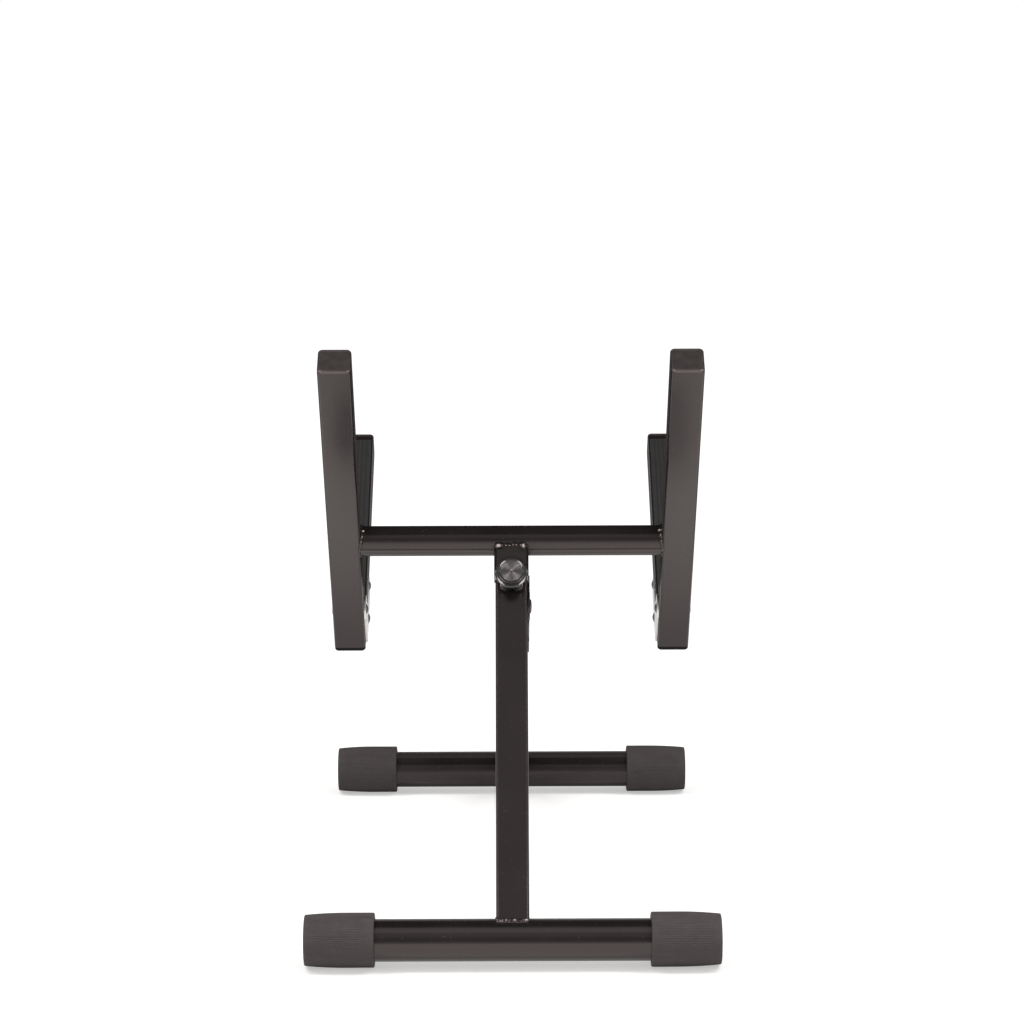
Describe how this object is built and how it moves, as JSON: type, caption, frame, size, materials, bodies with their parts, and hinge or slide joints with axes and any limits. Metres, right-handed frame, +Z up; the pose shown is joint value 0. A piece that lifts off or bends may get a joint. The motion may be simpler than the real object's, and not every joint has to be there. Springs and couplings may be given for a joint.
{
  "type": "folding amp stand",
  "caption": "Low tilt-back floor stand of black steel tube: round floor tubes with rubber feet, a hinged front leg with a locking knob, and shelf arms that fold against leaning uprights.",
  "frame": {"origin": "middle of the footprint, on the floor, with the stand open", "axes": "+Z up, +Y to the front where the carried cabinet faces, +X to the right of a viewer who stands behind the stand"},
  "size_m": [0.3744, 0.6014, 0.548],
  "materials": {
    "powder_coat": "semi-gloss black powder coat, fine orange peel",
    "foot_rubber": "matt dark grey rubber with fine lengthwise ribs",
    "pad_rubber": "matt black rubber, grooved",
    "cap_plastic": "fine-grained black plastic",
    "knob_plastic": "polished black moulding",
    "zinc_steel": "bright zinc plate",
    "dark_steel": "black oxide, edges worn bright"
  },
  "bodies": {
    "rear_frame": {"rear_floor_tube": "powder_coat", "rear_foot_left": "foot_rubber", "rear_foot_right": "foot_rubber", "rear_leg": "powder_coat", "leg_head_cheeks": "powder_coat", "crossbar": "powder_coat", "upright_left": "powder_coat", "upright_right": "powder_coat", "top_cap_left": "cap_plastic", "top_cap_right": "cap_plastic", "bottom_plug_left": "cap_plastic", "bottom_plug_right": "cap_plastic", "lock_boss": "zinc_steel", "hinge_pin": "dark_steel", "arm_pin_left": "dark_steel", "arm_pin_right": "dark_steel"},
    "front_leg_frame": {"front_leg": "powder_coat", "front_floor_tube": "powder_coat", "front_foot_left": "foot_rubber", "front_foot_right": "foot_rubber", "hinge_plate": "powder_coat", "leg_end_plate": "powder_coat"},
    "lock_screw": {"lock_stud": "zinc_steel"},
    "lock_knob": {"knob": "knob_plastic", "knob_crown": "knob_plastic"},
    "left_arm": {"arm_left": "powder_coat", "arm_plate_left": "zinc_steel", "arm_rivets_left": "dark_steel", "arm_pad_left": "pad_rubber", "arm_cap_left": "cap_plastic", "arm_bumper_left": "cap_plastic"},
    "right_arm": {"arm_right": "powder_coat", "arm_plate_right": "zinc_steel", "arm_rivets_right": "dark_steel", "arm_pad_right": "pad_rubber", "arm_cap_right": "cap_plastic", "arm_bumper_right": "cap_plastic"}
  },
  "joints": [
    {"name": "front_leg_fold", "type": "hinge", "parent": "rear_frame", "child": "front_leg_frame", "pos_m": [0, -0.10514, 0.29245], "axis": [-1, 0, 0], "range_deg": [0, 82.9]},
    {"name": "left_arm_fold", "type": "hinge", "parent": "rear_frame", "child": "left_arm", "pos_m": [-0.1575, -0.01711, 0.27018], "axis": [1, 0, 0], "range_deg": [0, 90]},
    {"name": "right_arm_fold", "type": "hinge", "parent": "rear_frame", "child": "right_arm", "pos_m": [0.1575, -0.01711, 0.27018], "axis": [1, 0, 0], "range_deg": [0, 90]},
    {"name": "lock_screw_travel", "type": "slide", "parent": "rear_frame", "child": "lock_screw", "axis": [0, 0.8434, -0.5373], "range_m": [0, 0.0045]},
    {"name": "lock_knob_turn", "type": "hinge", "parent": "lock_screw", "child": "lock_knob", "pos_m": [0, -0.09332, 0.311], "axis": [0, 0.8434, -0.5373], "range_deg": [0, 1296.1]}
  ],
  "couplings": [
    {"joint": "lock_knob_turn", "follows": "lock_screw_travel", "rad_per_m": 5026.5}
  ]
}
